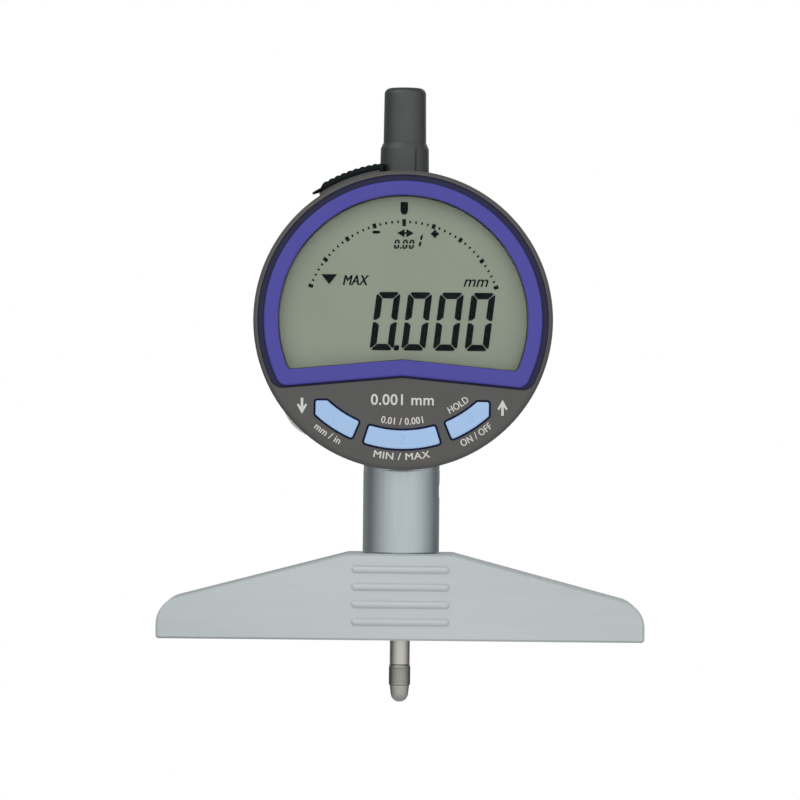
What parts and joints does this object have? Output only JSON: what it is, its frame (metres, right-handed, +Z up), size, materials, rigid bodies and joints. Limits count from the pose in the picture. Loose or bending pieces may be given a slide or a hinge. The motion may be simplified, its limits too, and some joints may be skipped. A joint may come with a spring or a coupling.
{
  "type": "digital depth gauge",
  "caption": "Digital depth gauge: a round electronic indicator with a D-shaped display and arc keys, clamped by its neck in a straight measuring base with a sprung contact rod.",
  "frame": {"origin": "centre of the measuring face (underside of the base), on the spindle axis", "axes": "+X along the base to the reader's right, +Z up along the spindle, the display faces -Y"},
  "size_m": [0.1016, 0.0245, 0.1285],
  "materials": {
    "base_steel": "satin ground and plated steel",
    "neck_steel": "satin plated tube",
    "ground_steel": "ground rod",
    "contact_steel": "hardened contact point with a knurled grip",
    "screw_steel": "plated screws",
    "case_plastic": "dark grey moulded, fine grain",
    "frame_plastic": "violet blue, satin gloss",
    "lens_clear": "clear acrylic",
    "lcd_panel": "greenish grey liquid crystal panel",
    "key_blue": "pale blue silicone-coated key",
    "black_rubber": "ribbed moulded rubber",
    "seal_rubber": "dark blue moulded seal",
    "lip_steel": "bright pull lip",
    "cap_metal": "dark grey satin",
    "inner_white": "moulded holder",
    "inner_black": "moulded black",
    "board_green": "circuit board",
    "spring_metal": "spring wire",
    "bush_brass": "turned brass",
    "contact_brass": "gold-plated contacts",
    "scale_glass": "coated glass scale",
    "frame_alloy": "milled alloy",
    "cell_steel": "coin cell"
  },
  "bodies": {
    "gauge_body": {"base": "base_steel", "neck_tube": "neck_steel", "clamp_screw": "screw_steel", "stem": "neck_steel", "stem_bush": "bush_brass", "front_case": "case_plastic", "rear_cover": "case_plastic", "case_screws": "screw_steel", "case_gasket": "black_rubber", "display_frame": "frame_plastic", "frame_seal": "seal_rubber", "window_lens": "lens_clear", "lcd_glass": "lcd_panel", "lcd_holder": "inner_white", "contact_strips": "black_rubber", "circuit_board": "board_green", "board_screws": "screw_steel", "board_chips": "inner_black", "key_switches": "inner_black", "read_head": "board_green", "guide_frame": "frame_alloy", "frame_screws": "screw_steel", "stop_washer": "black_rubber", "upper_bush": "bush_brass", "top_sleeve": "cap_metal", "top_cap": "cap_metal", "output_socket": "inner_black", "socket_pins": "contact_brass", "battery_contacts": "contact_brass", "drawer_rails": "inner_black", "return_spring": "spring_metal", "port_cover_root": "black_rubber"},
    "measuring_spindle": {"spindle": "ground_steel", "extension_rod": "ground_steel", "contact_point": "contact_steel", "scale_carrier": "frame_alloy", "carrier_screw": "screw_steel", "linear_scale": "scale_glass", "guide_pin": "ground_steel"},
    "left_key_body": {"left_key": "key_blue"},
    "middle_key_body": {"middle_key": "key_blue"},
    "right_key_body": {"right_key": "key_blue"},
    "cover_flap": {"port_cover": "black_rubber"},
    "drawer": {"battery_drawer": "case_plastic", "drawer_lip": "lip_steel", "coin_cell": "cell_steel"}
  },
  "joints": [
    {"name": "spindle_travel", "type": "slide", "parent": "gauge_body", "child": "measuring_spindle", "axis": [0, 0, 1], "range_m": [0, 0.0135], "stiffness_N_per_m": 30, "springref_m": -0.0267, "deforming": ["return_spring"]},
    {"name": "left_key_press", "type": "slide", "parent": "gauge_body", "child": "left_key_body", "axis": [0, 1, 0], "range_m": [0, 0.0005], "stiffness_N_per_m": 1500, "springref_m": -0.0004},
    {"name": "middle_key_press", "type": "slide", "parent": "gauge_body", "child": "middle_key_body", "axis": [0, 1, 0], "range_m": [0, 0.0005], "stiffness_N_per_m": 1500, "springref_m": -0.0004},
    {"name": "right_key_press", "type": "slide", "parent": "gauge_body", "child": "right_key_body", "axis": [0, 1, 0], "range_m": [0, 0.0005], "stiffness_N_per_m": 1500, "springref_m": -0.0004},
    {"name": "port_cover_hinge", "type": "hinge", "parent": "gauge_body", "child": "cover_flap", "pos_m": [-0.0064, 0, 0.09824], "axis": [0, 1, 0], "range_deg": [0, 75], "stiffness_Nm_per_rad": 0.0005},
    {"name": "battery_drawer_slide", "type": "slide", "parent": "gauge_body", "child": "drawer", "axis": [-0.7193, 0, -0.6947], "range_m": [0, 0.024]}
  ]
}
